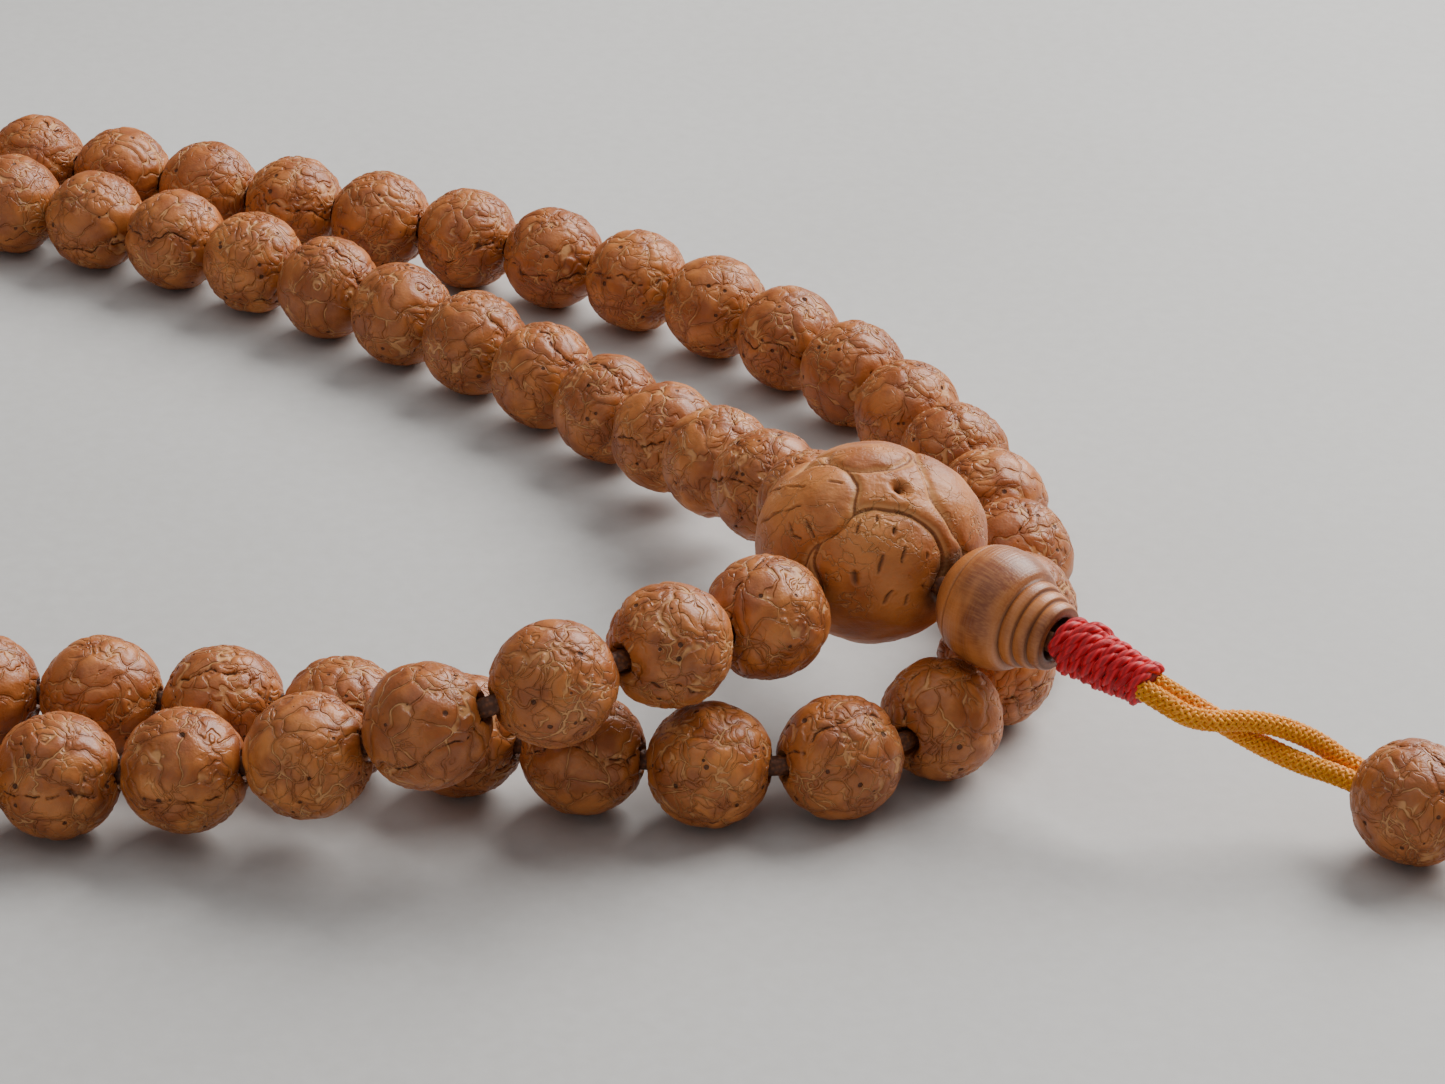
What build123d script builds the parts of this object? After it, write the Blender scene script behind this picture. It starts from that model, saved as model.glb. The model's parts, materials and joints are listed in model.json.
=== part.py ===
"""Mala prayer beads: 108 seed beads on one cord, doubled into two turns and laid on a table.

Both ends of the cord meet in a large three-hole guru bead, leave it through a turned cap bead and a
bound whipping, and carry on as a two-cord tail with one more seed bead and a knot.
Millimetres, +Z up, the table is Z = 0, and the origin is under the middle of the strand's box.
"""

import math
import os

from build123d import *

# Cord
cord_diameter = 1.5
cord_gap = 0.06  # between the two cords where they lie side by side
cord_spacing = cord_diameter + cord_gap
cord_pair = cord_spacing + cord_diameter  # across the two cords together
cord_clearance = 0.05  # between a cord and the thread wound on it

# Seed beads of the strand
bead_count = 108
bead_diameter = 9.5
bead_flattening = 0.25  # how much shorter a seed is along its bore than across it
bead_width = bead_diameter - bead_flattening
bead_bore_play = 0.9  # of the cord in the bore, at the middle of the seed
bead_mouth_flare = 0.3  # how much wider the bore is at both faces
bead_bore = cord_diameter + bead_bore_play
bead_bore_mouth = bead_bore + bead_mouth_flare
bead_gap = 0.1  # slack between two beads
guru_gap = 0.45  # from the guru bead's slanting skin to the first and last bead's face

# Guru bead, a large seed with its long axis along X
guru_length = 18.0
guru_diameter = 15.8
guru_cord_play = 0.9
guru_neck_play = 0.64
guru_cord_bore = cord_diameter + guru_cord_play
guru_neck_bore = cord_pair + guru_neck_play
guru_end_flat = 1.6  # across the small flat at each end of the seed
guru_chamber = 7.0  # where the three bores meet
guru_turn_reach = 4.0  # how far from its corner the cord may start to turn inside

# Turned cap bead on the neck
cap_diameter = 9.3
cap_length = 9.8
cap_bore_play = 0.44
cap_seat_wall = 0.55
cap_end_wall = 0.7
cap_bore = cord_pair + cap_bore_play
cap_seat_diameter = cap_bore + 2 * cap_seat_wall
cap_end_diameter = cap_bore + 2 * cap_end_wall
cap_shoulder_diameter = 7.3
cap_shoulder = 6.6  # from the seat to the first ring
cap_belly = 0.58  # where the dome is widest, as a share of the shoulder's distance
cap_rings = 3
cap_ring_depth = 0.35
cap_clearance = 0.12  # between the cap bead and its neighbours
cap_side_clearance = 0.05  # between the cap bead's dome and the guru bead's slanting skin

# Thread whipping behind the cap bead
whipping_length = 8.7
whipping_thickness = 0.72  # of the thread over the two cords, where it is thickest
whipping_start_thickness = 0.57
whipping_end_thickness = 0.32
whipping_diameter = cord_pair + 2 * whipping_thickness
whipping_start_diameter = cord_pair + 2 * whipping_start_thickness
whipping_end_diameter = cord_pair + 2 * whipping_end_thickness
whipping_belly = 0.45  # where it is thickest, as a share of its length

# Tail
tail_bead_diameter = 9.4
tail_bead_width = 9.2
tail_bead_play = 0.44
tail_mouth_flare = 0.5
tail_bead_bore = cord_pair + tail_bead_play
tail_bead_mouth = tail_bead_bore + tail_mouth_flare
tail_bead_lift = 0.01  # off the table
tail_bead_bearing = -37.8  # degrees from +X
tail_bead_dip = 5.8  # degrees below level
knot_diameter = 5.4
knot_length = 6.2
knot_end_length = 9.0  # from the knot's middle to each sealed cord end
knot_end_spread = 22  # degrees to each side of the tail's line
knot_end_lift = 0.4  # how far a sealed end stays off the table

# How the neck lies on the strand that passes under it
neck_bearing = -42.0  # degrees from +X
neck_dip = 6.4  # degrees below level
strand_clearance = 0.2  # between the cap bead and the strand below it
saddle_offset = 4.9  # across the table, from the cap bead's middle to the nearest strand bead

# The strand's route, in bead diameters: across, away, and height above a bead at rest on the table
GURU_AT = (9.73, -4.78)
ROUTE = [
    # rising run in front of the guru bead, over the second turn
    (9.13, -5.66, 0.84), (8.13, -6.54, 1.03), (7.32, -7.10, 1.02), (6.45, -7.20, 0.72),
    (5.40, -6.95, 0.25), (3.90, -6.75, 0), (1.41, -6.73, 0),
    # outer turn's rounded end
    (-1.29, -6.69, 0), (-4.20, -6.39, 0), (-7.24, -5.35, 0), (-9.87, -3.07, 0), (-11.15, 0.37, 0),
    (-10.41, 4.01, 0), (-7.87, 6.63, 0), (-4.50, 7.54, 0), (-1.26, 7.00, 0),
    # outer turn's far side, and round behind the guru bead
    (1.68, 6.03, 0), (4.37, 4.89, 0), (6.70, 3.71, 0), (8.59, 2.36, 0), (9.93, 0.63, 0),
    (10.83, -1.56, 0), (11.09, -3.22, 0), (10.93, -4.55, 0), (10.46, -5.70, 0),
    (9.76, -6.43, 0),
    # second turn's near side, under the rising run
    (8.85, -6.66, 0), (7.40, -6.42, 0), (5.71, -5.81, 0), (3.42, -5.40, 0),
    # inner turn's rounded end
    (0.93, -5.35, 0), (-1.71, -5.28, 0), (-4.43, -4.92, 0), (-7.01, -3.76, 0), (-8.88, -1.63, 0),
    (-9.45, 1.13, 0), (-8.47, 3.77, 0), (-6.26, 5.53, 0), (-3.50, 6.12, 0), (-0.71, 5.76, 0),
    # inner turn's far side, back up to the guru bead
    (1.88, 4.85, 0), (4.13, 3.42, 0), (6.37, 1.42, 0), (7.75, -0.25, 0), (8.95, -2.58, 0.46),
]

# The tail in millimetres: where its bead lies, its knot, and the points of its two cords.
# The cords start about 1.6 clear of the whipping, so that they can swing, and cross once on the way.
# The whole tail moves with the neck's end. The height of a cord's points 5 and 6, which are the ends
# of its run through the tail bead, is from that bead's middle.
TAIL_FROM = (110.305, -64.899, 11.476)  # the neck's end
TAIL_BEAD_AT = (129.2, -69.9)
KNOT_AT = (140.9, -78.8, 2.9)
TAIL_CORDS = {
    "tail_cord_near": [
        (110.45, -66.50, 11.30), (113.10, -67.45, 9.85), (118.10, -66.20, 9.70),
        (122.50, -64.50, 7.20), (124.97, -65.62, 0.60), (134.31, -72.88, -0.59),
        (138.80, -76.15, 3.38),
    ],
    "tail_cord_far": [
        (111.49, -65.34, 11.30), (113.90, -65.55, 10.05), (117.90, -65.50, 7.10),
        (121.30, -66.60, 5.85), (124.01, -66.86, 0.60), (133.35, -74.12, -0.59),
        (137.90, -77.70, 3.35),
    ],
}

# Beads that are nodes of their own, by number from the guru bead, and the groups between them
SINGLE_BEADS = list(range(1, 8)) + list(range(42, 68)) + list(range(97, 109))
GROUPED_BEADS = [(8, 18), (19, 29), (30, 41), (68, 77), (78, 86), (87, 96)]

os.makedirs("parts", exist_ok=True)


def direction(bearing, dip):
    """Unit vector at a bearing from +X, pointing down by dip, both in degrees."""
    level = math.cos(math.radians(dip))
    across = math.cos(math.radians(bearing)) * level
    away = math.sin(math.radians(bearing)) * level
    return Vector(across, away, -math.sin(math.radians(dip)))


def corner_turn(points, i):
    """Angle in degrees through which the route turns at point i."""
    return (points[i] - points[i - 1]).get_angle(points[i + 1] - points[i])


def corner_radius(points, i):
    """Largest easy arc at point i: it takes 0.45 of the shorter run."""
    shorter = min((points[i] - points[i - 1]).length, (points[i + 1] - points[i]).length)
    return 0.45 * shorter / math.tan(math.radians(corner_turn(points, i)) / 2)


def corner_radii(points):
    return [corner_radius(points, i) for i in range(1, len(points) - 1)]


def route_length(points):
    """Length of straight runs joined by tangent arcs."""
    length = sum((b - a).length for a, b in zip(points, points[1:]))
    for i, radius in enumerate(corner_radii(points), start=1):
        half = math.radians(corner_turn(points, i)) / 2
        length -= 2 * radius * (math.tan(half) - half)
    return length


def guru_skin(start, way):
    """Distance from a point inside the guru bead, given from its middle, to its surface."""
    long, round_ = guru_length / 2, guru_diameter / 2
    s = Vector(start.X / long, start.Y / round_, start.Z / round_)
    w = Vector(way.X / long, way.Y / round_, way.Z / round_)
    a, b, c = w.dot(w), s.dot(w), s.dot(s) - 1
    return (math.sqrt(b * b - a * c) - b) / a


# Neck: the cap bead rests in the saddle between two strand beads and the guru bead leans on it
neck_way = direction(neck_bearing, neck_dip)
neck_side = direction(neck_bearing + 90, 0)
neck_up = neck_way.cross(neck_side)
guru_reach = guru_skin(Vector(0, 0, 0), neck_way)


def guru_reach_round(radius):
    """The farthest that the guru bead reaches along the neck at this distance from its line."""
    turns = [math.radians(angle) for angle in range(0, 360, 5)]
    return max(
        guru_skin((neck_side * math.cos(a) + neck_up * math.sin(a)) * radius, neck_way)
        for a in turns
    )


cap_dome = ThreePointArc(
    (cap_seat_diameter / 2, 0), (cap_diameter / 2, cap_shoulder * cap_belly),
    (cap_shoulder_diameter / 2, cap_shoulder),
)
dome_spots = [cap_dome @ (i / 60) for i in range(61)]
dome_reach = max(
    guru_reach_round(spot.X) - spot.Y
    for spot in dome_spots if spot.X < min(guru_length, guru_diameter) / 2
)
cap_start = max(guru_reach + cap_clearance, dome_reach + cap_side_clearance)
cap_end = cap_start + cap_length
whipping_start = cap_end + cap_clearance
neck_length = whipping_start + whipping_length
saddle_reach = (cap_diameter + bead_diameter) / 2 + strand_clearance
cap_height = bead_diameter / 2 + math.sqrt(saddle_reach**2 - saddle_offset**2)
guru_height = cap_height + (cap_start + cap_length / 2) * math.sin(math.radians(neck_dip))


def strand_points(scale):
    """Route points in millimetres, from the guru bead round both turns and back to it."""
    middle = Vector(GURU_AT[0] * scale, GURU_AT[1] * scale, guru_height)
    laid = [Vector(x * scale, y * scale, bead_diameter * (0.5 + lift)) for x, y, lift in ROUTE]
    leave = middle - neck_side * (cord_spacing / 2)
    arrive = middle + neck_side * (cord_spacing / 2)
    return middle, [leave] + laid + [arrive]


def skin_distances(middle, points):
    """From the cord's two corners inside the guru bead out to its surface."""
    first = guru_skin(points[0] - middle, (points[1] - points[0]).normalized())
    last = guru_skin(points[-1] - middle, (points[-2] - points[-1]).normalized())
    return first, last


def bead_step(turn):
    """Distance between two beads' middles, wider where the strand turns and their rims meet."""
    return bead_gap + bead_width * math.cos(turn / 2) + bead_bore_mouth * math.sin(turn / 2)


def bead_on(wire, along):
    """A straight bore on a curved cord: it follows the chord and shares out the cord's bow."""
    before = wire @ ((along - bead_width / 2) / wire.length)
    middle = wire @ (along / wire.length)
    after = wire @ ((along + bead_width / 2) / wire.length)
    return (before + after) * 0.25 + middle * 0.5, (after - before).normalized()


def thread_beads(wire, along):
    """Each bead's middle and bore direction, and how far along the cord the last one sits."""
    spots = [bead_on(wire, along)]
    while len(spots) < bead_count:
        last_at, last_way = spots[-1]
        step = bead_width + bead_gap
        for _ in range(3):
            at, way = bead_on(wire, along + step)
            step += bead_step(math.radians(last_way.get_angle(way))) - (at - last_at).length
        along += step
        spots.append(bead_on(wire, along))
    return spots, along


# The beads fill the cord, so the route is scaled until it is just as long as they are
strung = 1.03 * bead_count * (bead_width + bead_gap)  # a little long, then taken in
scale = bead_diameter
for _ in range(3):
    for _ in range(4):
        guru_middle, strand = strand_points(scale)
        skins = skin_distances(guru_middle, strand)
        scale *= (strung + sum(skins)) / route_length(strand)
    guru_middle, strand = strand_points(scale)
    skins = skin_distances(guru_middle, strand)
    with BuildLine() as strand_line:
        FilletPolyline(*strand, radius=corner_radii(strand))
    strand_wire = strand_line.wires()[0]
    face = guru_gap + bead_width / 2
    bead_spots, last_along = thread_beads(strand_wire, skins[0] + face)
    strung += last_along + face + skins[1] - strand_wire.length


def bead_half_extent(lengthwise):
    """Half a bead's size along a world axis that makes the cosine `lengthwise` with its bore."""
    face = bead_bore_mouth / 2
    long = bead_width / 2 / math.sqrt(1 - (face / (bead_diameter / 2)) ** 2)
    return math.hypot(bead_diameter / 2 * math.sqrt(1 - lengthwise**2), long * lengthwise)


# Box of the strand, guru bead and neck, whose middle becomes the origin
neck_end = guru_middle + neck_way * neck_length
rim_x = whipping_end_diameter / 2 * math.sqrt(1 - neck_way.X**2)
low_x = min(p.X - bead_half_extent(t.X) for p, t in bead_spots)
high_x = max(max(p.X + bead_half_extent(t.X) for p, t in bead_spots), neck_end.X + rim_x)
low_y = min(p.Y - bead_half_extent(t.Y) for p, t in bead_spots)
high_y = max(p.Y + bead_half_extent(t.Y) for p, t in bead_spots)
to_origin = Vector(-(low_x + high_x) / 2, -(low_y + high_y) / 2, 0)

guru_middle = guru_middle + to_origin
strand = [p + to_origin for p in strand]
bead_spots = [(p + to_origin, t) for p, t in bead_spots]
neck_end = neck_end + to_origin


def neck_point(along, aside=0.0):
    """Point on the neck's line, measured from the guru bead's middle."""
    return guru_middle + neck_way * along + neck_side * aside


def profile_plane(at, bore_way):
    """Plane with its X across a bore and its Y along it."""
    across = bore_way.cross(Vector(0, 0, 1)).normalized()
    return Plane(origin=at, x_dir=across, z_dir=across.cross(bore_way))


def seed_bead(at, bore_way, diameter, width, bore, mouth):
    """A seed turned about its bore, which is narrowest at the middle."""
    face = mouth / 2
    long = width / 2 / math.sqrt(1 - (face / (diameter / 2)) ** 2)
    edge_angle = math.degrees(math.atan2(width / 2 / long, face / (diameter / 2)))
    with BuildPart() as bead:
        with BuildSketch(profile_plane(at, bore_way)):
            with BuildLine():
                skin = EllipticalCenterArc(
                    (0, 0), diameter / 2, long, start_angle=-edge_angle, arc_size=2 * edge_angle
                )
                ThreePointArc(skin @ 1, (bore / 2, 0), skin @ 0)
            make_face()
        revolve(axis=Axis(at, bore_way))
    return bead


def tube(points, radii):
    """Round cord along straight runs and tangent arcs."""
    with BuildPart() as cord:
        with BuildLine() as route:
            FilletPolyline(*points, radius=radii)
        path = route.wires()[0]
        with BuildSketch(Plane(origin=path @ 0, z_dir=path % 0)):
            Circle(cord_diameter / 2)
        sweep(path=path)
    section = math.pi * cord_diameter**2 / 4
    print(f"cord {path.length:.1f} long, least radius {min(radii):.1f},",
          f"volume {cord.part.volume / (section * path.length):.4f} of section x length")
    return cord


def save(piece, name):
    piece.part.label = name
    export_step(piece.part, f"parts/{name}.step")


# ---- strand beads
for number in SINGLE_BEADS:
    at, bore_way = bead_spots[number - 1]
    bead = seed_bead(at, bore_way, bead_diameter, bead_width, bead_bore, bead_bore_mouth)
    save(bead, f"bead_{number:03d}")

for first, last in GROUPED_BEADS:
    with BuildPart() as group:
        for at, bore_way in bead_spots[first - 1:last]:
            add(seed_bead(at, bore_way, bead_diameter, bead_width, bead_bore, bead_bore_mouth).part)
    save(group, f"beads_{first:03d}_to_{last:03d}")

# ---- guru bead: an egg-shaped seed with three bores that meet in its middle
flat_angle = math.degrees(math.acos(guru_end_flat / guru_diameter))
with BuildPart() as guru_bead:
    with BuildSketch(profile_plane(guru_middle, Vector(1, 0, 0))):
        with BuildLine():
            skin = EllipticalCenterArc(
                (0, 0), guru_diameter / 2, guru_length / 2,
                start_angle=-flat_angle, arc_size=2 * flat_angle,
            )
            Polyline(skin @ 1, (0, (skin @ 1).Y), (0, (skin @ 0).Y), skin @ 0)
        make_face()
    revolve(axis=Axis(guru_middle, (1, 0, 0)))
    with Locations(guru_middle):
        Sphere(guru_chamber / 2, mode=Mode.SUBTRACT)
    bores = [
        (guru_middle, neck_way, guru_neck_bore),
        (strand[0], (strand[1] - strand[0]).normalized(), guru_cord_bore),
        (strand[-1], (strand[-2] - strand[-1]).normalized(), guru_cord_bore),
    ]
    for start, way, width in bores:
        with BuildSketch(Plane(origin=start, z_dir=way)):
            Circle(width / 2)
        extrude(amount=guru_length, mode=Mode.SUBTRACT)
save(guru_bead, "guru_bead")

# ---- cap bead: a turned dome with rings at its narrow end
with BuildPart() as cap_bead:
    with BuildSketch(profile_plane(neck_point(cap_start), neck_way)):
        with BuildLine():
            add(cap_dome)
            ring_length = (cap_length - cap_shoulder) / cap_rings
            taper = (cap_shoulder_diameter - cap_end_diameter) / 2 / cap_rings
            corner = Vector(cap_shoulder_diameter / 2, cap_shoulder)
            for ring in range(cap_rings):
                start = (corner.X - cap_ring_depth, corner.Y)
                stop = (corner.X - taper, corner.Y + ring_length)
                Line(corner, start)
                bulge = ((start[0] + stop[0]) / 2 + ring_length / 5, (start[1] + stop[1]) / 2)
                ThreePointArc(start, bulge, stop)
                corner = Vector(*stop)
            Line(corner, (cap_bore / 2, cap_length))
            Line((cap_bore / 2, cap_length), (cap_bore / 2, 0))
            Line((cap_bore / 2, 0), (cap_seat_diameter / 2, 0))
        make_face()
    revolve(axis=Axis(neck_point(cap_start), neck_way))
save(cap_bead, "cap_bead")

# ---- whipping: the thread wound round both cords
with BuildPart() as whipping:
    with BuildSketch(profile_plane(neck_point(whipping_start), neck_way)):
        with BuildLine():
            ThreePointArc(
                (whipping_start_diameter / 2, 0),
                (whipping_diameter / 2, whipping_length * whipping_belly),
                (whipping_end_diameter / 2, whipping_length),
            )
            Line((whipping_end_diameter / 2, whipping_length), (0, whipping_length))
            Line((0, whipping_length), (0, 0))
            Line((0, 0), (whipping_start_diameter / 2, 0))
        make_face()
    revolve(axis=Axis(neck_point(whipping_start), neck_way))
    for aside in (-cord_spacing / 2, cord_spacing / 2):
        with BuildSketch(Plane(origin=neck_point(whipping_start - 1, aside), z_dir=neck_way)):
            Circle(cord_diameter / 2 + cord_clearance)
        extrude(amount=whipping_length + 2, mode=Mode.SUBTRACT)
save(whipping, "thread_whipping")

# ---- string: one cord from the whipping's mouth through the guru bead, round both turns and back
string_points = [neck_point(neck_length, -cord_spacing / 2)] + strand
string_points = string_points + [neck_point(neck_length, cord_spacing / 2)]
string_radii = corner_radii(string_points)
for i in (0, -1):
    half_turn = math.radians(corner_turn(string_points, 1 if i == 0 else len(string_points) - 2)) / 2
    string_radii[i] = min(string_radii[i], guru_turn_reach / math.tan(half_turn))
string_loop = tube(string_points, string_radii)
save(string_loop, "string_loop")

# ---- tail: two cords, one seed bead threaded on both, and the knot that holds it on
tail_move = neck_end - Vector(*TAIL_FROM)
tail_slide = Vector(tail_move.X, tail_move.Y, 0)
tail_rise = Vector(0, 0, tail_move.Z)
tail_bead_way = direction(tail_bead_bearing, tail_bead_dip)
tail_bead_at = Vector(*TAIL_BEAD_AT, tail_bead_diameter / 2 + tail_bead_lift) + tail_slide
for name, points in TAIL_CORDS.items():
    points = [Vector(*p) + tail_slide for p in points]
    points[:2] = [p + tail_rise for p in points[:2]]
    points[4:6] = [p + Vector(0, 0, tail_bead_at.Z) for p in points[4:6]]
    save(tube(points, corner_radii(points)), name)

tail_bead = seed_bead(
    tail_bead_at, tail_bead_way, tail_bead_diameter, tail_bead_width, tail_bead_bore, tail_bead_mouth
)
save(tail_bead, "tail_bead")

knot_way = direction(tail_bead_bearing, 0)
knot_at = Vector(*KNOT_AT) + tail_slide
with BuildPart() as end_knot:
    with BuildSketch(profile_plane(knot_at, knot_way)):
        with BuildLine():
            skin = EllipticalCenterArc(
                (0, 0), knot_diameter / 2, knot_length / 2, start_angle=-90, arc_size=180
            )
            Line(skin @ 1, skin @ 0)
        make_face()
    revolve(axis=Axis(knot_at, knot_way))
    end_drop = knot_at.Z - cord_diameter / 2 - knot_end_lift
    end_dip = math.degrees(math.asin(end_drop / knot_end_length))
    for spread in (-knot_end_spread, knot_end_spread):
        end_way = direction(tail_bead_bearing + spread, end_dip)
        with BuildSketch(Plane(origin=knot_at, z_dir=end_way)):
            Circle(cord_diameter / 2)
        extrude(amount=knot_end_length)
save(end_knot, "end_knot")

print("least radius of the strand's cord", round(min(string_radii[1:-1]), 1))
print("cap bead starts at", round(cap_start, 4), "and the neck ends at", neck_end)
print("guru bead's volume", round(guru_bead.part.volume))
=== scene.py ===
"""Mala prayer beads: the creased seeds, the lobed guru bead, the turned cap bead, the thread
whipping and the braided cords of the tail, laid on a pale floor. Metres, in the CAD frame.
"""

import json
import math

import bmesh
import bpy
import numpy as np
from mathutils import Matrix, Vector, noise


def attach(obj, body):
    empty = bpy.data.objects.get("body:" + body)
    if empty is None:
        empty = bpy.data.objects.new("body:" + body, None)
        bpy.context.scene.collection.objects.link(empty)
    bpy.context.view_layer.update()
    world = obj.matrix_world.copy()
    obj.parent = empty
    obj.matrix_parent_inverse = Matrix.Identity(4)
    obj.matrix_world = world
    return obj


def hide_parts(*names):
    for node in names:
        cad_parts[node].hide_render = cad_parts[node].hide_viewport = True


MM = 0.001

# Seeds
SEED_RADIUS = 4.75 * MM
SEED_HALF_LENGTH = 4.82 * MM
SEED_MOUTH = 1.25 * MM
TAIL_SEED_RADIUS = 4.7 * MM
TAIL_SEED_HALF_LENGTH = 4.9 * MM
TAIL_SEED_MOUTH = 1.95 * MM
NEAR_DETAIL = 6  # subdivisions of a seed that is a piece of its own
FAR_DETAIL = 5  # subdivisions of a seed in a group

# Guru bead, from its own middle: long axis along X
GURU_HALF = np.array([9.0, 7.9, 7.9]) * MM
GURU_EYE = (0.233, -0.481, 0.845)
GURU_LOBES = {  # each lobe is a few round patches run together: direction and radius in degrees
    "left": [((-0.61, -0.42, 0.67), 29.5), ((-0.93, -0.28, 0.22), 36), ((-0.80, 0.45, 0.30), 32)],
    "front": [((0.07, -0.98, 0.19), 35), ((0.02, -0.80, -0.60), 40)],
    "back": [((-0.02, 0.10, 0.99), 22.5), ((-0.10, 0.72, 0.68), 34)],
    "right": [((0.92, 0.11, 0.39), 43), ((0.80, 0.50, -0.30), 40)],
    "under": [((-0.30, 0.30, -0.90), 48)],
}
GURU_SLITS = [  # short cuts in the skin: the direction of each end, and half the width in degrees
    ((-0.14, -0.79, 0.60), (-0.15, -0.84, 0.51), 0.8),
    ((0.04, -0.75, 0.67), (0.03, -0.79, 0.61), 0.7),
    ((0.19, -0.79, 0.58), (0.17, -0.84, 0.52), 0.9),
    ((0.24, -0.89, 0.40), (0.23, -0.94, 0.27), 0.7),
    ((0.07, -0.93, 0.36), (0.04, -0.98, 0.18), 0.8),
    ((-0.15, -0.97, 0.19), (-0.11, -0.99, 0.08), 1.3),
    ((0.14, -0.99, -0.05), (0.05, -0.98, -0.21), 0.7),
    ((0.26, -0.96, -0.13), (0.25, -0.94, -0.23), 0.7),
    ((0.47, -0.84, 0.28), (0.47, -0.86, 0.21), 0.6),
    ((0.41, -0.91, 0.00), (0.42, -0.91, -0.06), 0.6),
    ((-0.96, -0.15, 0.25), (-0.76, -0.38, 0.52), 0.5),
    ((-0.76, -0.38, 0.52), (-0.62, -0.47, 0.63), 0.5),
    ((-0.87, 0.22, 0.43), (-0.74, -0.13, 0.66), 0.5),
    ((-0.74, -0.13, 0.66), (-0.59, -0.29, 0.75), 0.5),
    ((-0.70, -0.53, 0.47), (-0.68, -0.62, 0.39), 0.6),
    ((-0.68, -0.62, 0.39), (-0.62, -0.69, 0.36), 0.6),
    ((-0.58, -0.61, 0.54), (-0.52, -0.74, 0.42), 0.6),
    ((-0.40, -0.37, 0.84), (-0.25, -0.40, 0.88), 0.5),
]

# Neck: cap bead and whipping, measured along the neck from the guru bead's middle
CAP_START = 8.57 * MM
CAP_LENGTH = 9.8 * MM
WHIPPING_START = 18.49 * MM
WHIPPING_LENGTH = 8.7 * MM
THREAD_RADIUS = 0.56 * MM
THREAD_TURNS = 7.4

# Tail cords: length, and points close to the CAD tubes', led back into the whipping's mouth
TAIL_CORDS = {
    "tail_cord_near": (0.0355, [
        (109.35, -65.20, 11.65), (110.75, -66.35, 11.20), (113.30, -67.30, 9.95),
        (118.10, -66.15, 9.55), (122.50, -64.80, 7.10), (124.97, -65.62, 5.31),
        (134.31, -72.88, 4.12), (138.80, -76.15, 3.38),
    ]),
    "tail_cord_far": (0.0335, [
        (110.35, -64.05, 11.65), (111.60, -65.05, 11.20), (114.00, -65.70, 9.95),
        (117.90, -65.65, 7.35), (121.30, -66.45, 5.95), (124.01, -66.86, 5.31),
        (133.35, -74.12, 4.12), (137.90, -77.70, 3.35),
    ]),
}

# Colours, as linear light
SEED_LIGHT = (0.62, 0.215, 0.050, 1)
SEED_DARK = (0.34, 0.092, 0.017, 1)
SEED_CREAM = (0.80, 0.42, 0.16, 1)
# dark of the seams, pits, slits and eye; also painted shade on the guru bead
SEED_PIT_AND_SHADE = (0.07, 0.022, 0.008, 1)
GOLD_LIGHT = (1.0, 0.42, 0.006, 1)
GOLD_DEEP = (0.84, 0.25, 0.002, 1)
RED_LIGHT = (0.74, 0.002, 0.014, 1)
RED_DEEP = (0.42, 0.001, 0.008, 1)
RED_SHADE = (0.25, 0.001, 0.004, 1)
RED_SHADE_DEEP = (0.12, 0.001, 0.003, 1)
# the string loop: the gold cord painted dark as shade
SHADED_CORD = (0.20, 0.060, 0.014, 1)
SHADED_CORD_DEEP = (0.09, 0.026, 0.008, 1)

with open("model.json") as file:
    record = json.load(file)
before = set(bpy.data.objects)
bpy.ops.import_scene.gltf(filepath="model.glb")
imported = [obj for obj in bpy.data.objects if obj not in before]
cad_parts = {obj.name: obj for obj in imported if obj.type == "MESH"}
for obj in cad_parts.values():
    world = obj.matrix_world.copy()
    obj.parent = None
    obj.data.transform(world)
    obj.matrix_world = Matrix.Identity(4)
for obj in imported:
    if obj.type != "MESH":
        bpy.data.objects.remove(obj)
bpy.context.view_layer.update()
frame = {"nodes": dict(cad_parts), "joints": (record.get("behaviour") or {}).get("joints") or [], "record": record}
seeded = np.random.default_rng(108)
hinges = {j["name"]: (Vector(j["pos_m"]), Vector(j["axis"])) for j in frame["joints"]}
cap_middle, NECK_WAY = hinges["cap_bead_spin"]
guru_middle = cap_middle - NECK_WAY * (CAP_START + CAP_LENGTH / 2)


# ---------------------------------------------------------------- camera, floor and light
def camera():
    """The view from the front, a little above, with a long lens."""
    data = bpy.data.cameras.new("camera")
    data.lens = 113.95
    data.sensor_width = 36
    data.clip_start = 0.01
    eye = bpy.data.objects.new("camera", data)
    eye.location = (0.0773, -0.3591, 0.1692)
    eye.rotation_euler = (math.radians(90 - 26.35), 0, math.radians(-0.3))
    bpy.context.scene.collection.objects.link(eye)
    bpy.context.scene.camera = eye


def area_light(name, at, aim, size, power, colour):
    data = bpy.data.lights.new(name, "AREA")
    data.shape = "RECTANGLE"
    data.size, data.size_y = size
    data.energy = power
    data.color = colour
    lamp = bpy.data.objects.new(name, data)
    lamp.location = at
    lamp.rotation_euler = (Vector(aim) - Vector(at)).to_track_quat("-Z", "Y").to_euler()
    bpy.context.scene.collection.objects.link(lamp)


def daylight():
    """A large soft window behind and to the right, and a weak fill from the front left."""
    area_light("window", (0.42, 0.30, 0.42), (0.06, -0.03, 0), (0.55, 0.45), 8.2, (1, 0.985, 0.96))
    area_light("overhead", (-0.05, -0.1, 0.6), (0, -0.02, 0), (0.7, 0.7), 1.1, (1, 0.99, 0.97))
    area_light("fill", (-0.25, -0.6, 0.25), (0.02, -0.02, 0), (0.5, 0.4), 0.35, (1, 0.97, 0.94))
    world = bpy.data.worlds.new("room")
    world.use_nodes = True
    world.node_tree.nodes["Background"].inputs["Color"].default_value = (0.92, 0.95, 1, 1)
    world.node_tree.nodes["Background"].inputs["Strength"].default_value = 0.20
    bpy.context.scene.world = world


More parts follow.
